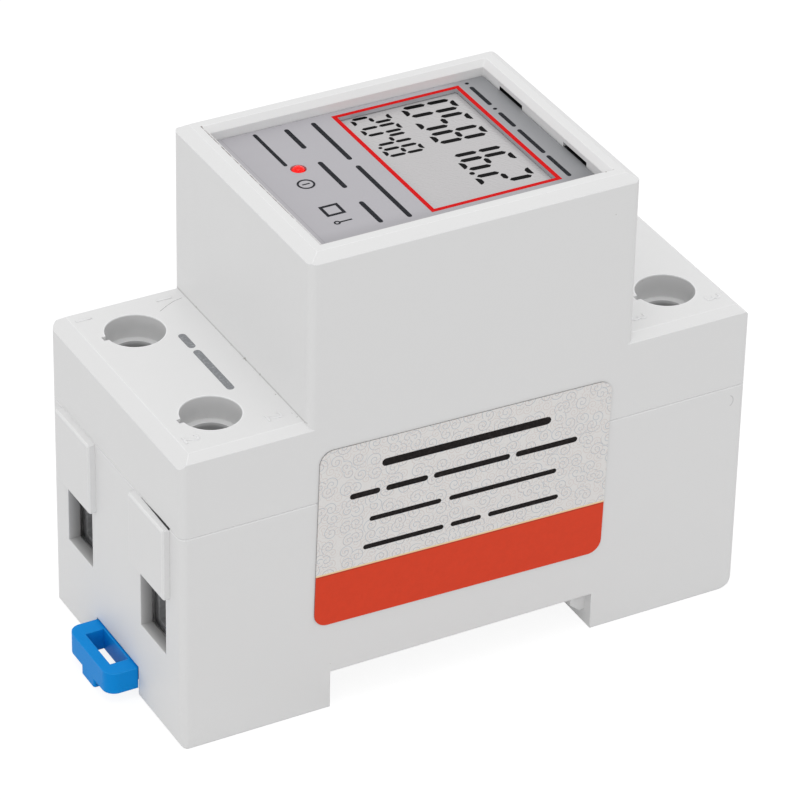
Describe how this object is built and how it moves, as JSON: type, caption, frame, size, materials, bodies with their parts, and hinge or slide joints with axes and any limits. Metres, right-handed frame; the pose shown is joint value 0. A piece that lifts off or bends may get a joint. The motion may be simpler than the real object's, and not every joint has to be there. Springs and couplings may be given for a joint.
{
  "type": "rail mounted energy meter",
  "caption": "Narrow energy meter for a top-hat rail, with a display nose, screw terminals at both ends, a sliding rail clip and a side label.",
  "frame": {"origin": "middle of the rail seat, the ceiling of the channel in the underside", "axes": "+X from the rail clip towards the fixed hooks, +Y along the rail away from the labelled side, +Z out of the rail towards the display"},
  "size_m": [0.0829, 0.0361, 0.0644],
  "materials": {
    "housing": "light grey, fine texture",
    "plate": "silvery grey, satin",
    "display_glass": "reflective grey liquid crystal",
    "lamp": "clear red, glossy",
    "clip": "blue, satin",
    "label": "cream with an orange-red band",
    "inner_plastic": "black, matt",
    "tinned_pin": "tinned",
    "board": "green lacquer",
    "film_case": "yellow box",
    "can": "sleeved",
    "varistor_coat": "dipped, blue",
    "copper_bar": "tinned brass",
    "shunt_alloy": "bare resistance alloy",
    "zinc_steel": "zinc plated"
  },
  "bodies": {
    "housing": {"cover_housing": "housing", "base_housing": "housing", "face_plate": "plate", "lcd_glass": "display_glass", "lcd_carrier": "inner_plastic", "lcd_pins": "tinned_pin", "pulse_led": "lamp", "link_strips": "inner_plastic", "link_pins": "tinned_pin", "display_board": "board", "sense_pins": "copper_bar", "main_board": "board", "film_capacitor": "film_case", "electrolytic_capacitor": "can", "varistor": "varistor_coat", "metering_chip": "inner_plastic", "controller_chip": "inner_plastic", "optocoupler": "inner_plastic", "crystal": "tinned_pin", "line_bar_in": "copper_bar", "line_bar_out": "copper_bar", "shunt": "shunt_alloy", "neutral_bar": "copper_bar", "side_label": "label"},
    "clip": {"rail_clip": "clip"},
    "screw_left_front": {"terminal_screw_left_front": "zinc_steel"},
    "screw_left_back": {"terminal_screw_left_back": "zinc_steel"},
    "screw_right_front": {"terminal_screw_right_front": "zinc_steel"},
    "screw_right_back": {"terminal_screw_right_back": "zinc_steel"},
    "cage_left_front": {"cage_clamp_left_front": "zinc_steel"},
    "cage_left_back": {"cage_clamp_left_back": "zinc_steel"},
    "cage_right_front": {"cage_clamp_right_front": "zinc_steel"},
    "cage_right_back": {"cage_clamp_right_back": "zinc_steel"}
  },
  "joints": [
    {"name": "clip_slide", "type": "slide", "parent": "housing", "child": "clip", "axis": [-1, 0, 0], "range_m": [0, 0.0036], "stiffness_N_per_m": 2000},
    {"name": "screw_turn_left_front", "type": "hinge", "parent": "housing", "child": "screw_left_front", "pos_m": [-0.03065, -0.01025, 0.0318], "axis": [0, 0, -1], "range_deg": [0, 2881]},
    {"name": "screw_turn_left_back", "type": "hinge", "parent": "housing", "child": "screw_left_back", "pos_m": [-0.03065, 0.01025, 0.0318], "axis": [0, 0, -1], "range_deg": [0, 2881]},
    {"name": "screw_turn_right_front", "type": "hinge", "parent": "housing", "child": "screw_right_front", "pos_m": [0.03165, -0.01025, 0.0318], "axis": [0, 0, -1], "range_deg": [0, 2881]},
    {"name": "screw_turn_right_back", "type": "hinge", "parent": "housing", "child": "screw_right_back", "pos_m": [0.03165, 0.01025, 0.0318], "axis": [0, 0, -1], "range_deg": [0, 2881]},
    {"name": "cage_lift_left_front", "type": "slide", "parent": "housing", "child": "cage_left_front", "axis": [0, 0, 1], "range_m": [0, 0.0064]},
    {"name": "cage_lift_left_back", "type": "slide", "parent": "housing", "child": "cage_left_back", "axis": [0, 0, 1], "range_m": [0, 0.0064]},
    {"name": "cage_lift_right_front", "type": "slide", "parent": "housing", "child": "cage_right_front", "axis": [0, 0, 1], "range_m": [0, 0.0064]},
    {"name": "cage_lift_right_back", "type": "slide", "parent": "housing", "child": "cage_right_back", "axis": [0, 0, 1], "range_m": [0, 0.0064]}
  ],
  "couplings": [
    {"joint": "screw_turn_left_front", "follows": "cage_lift_left_front", "rad_per_m": 7854},
    {"joint": "screw_turn_left_back", "follows": "cage_lift_left_back", "rad_per_m": 7854},
    {"joint": "screw_turn_right_front", "follows": "cage_lift_right_front", "rad_per_m": 7854},
    {"joint": "screw_turn_right_back", "follows": "cage_lift_right_back", "rad_per_m": 7854}
  ]
}
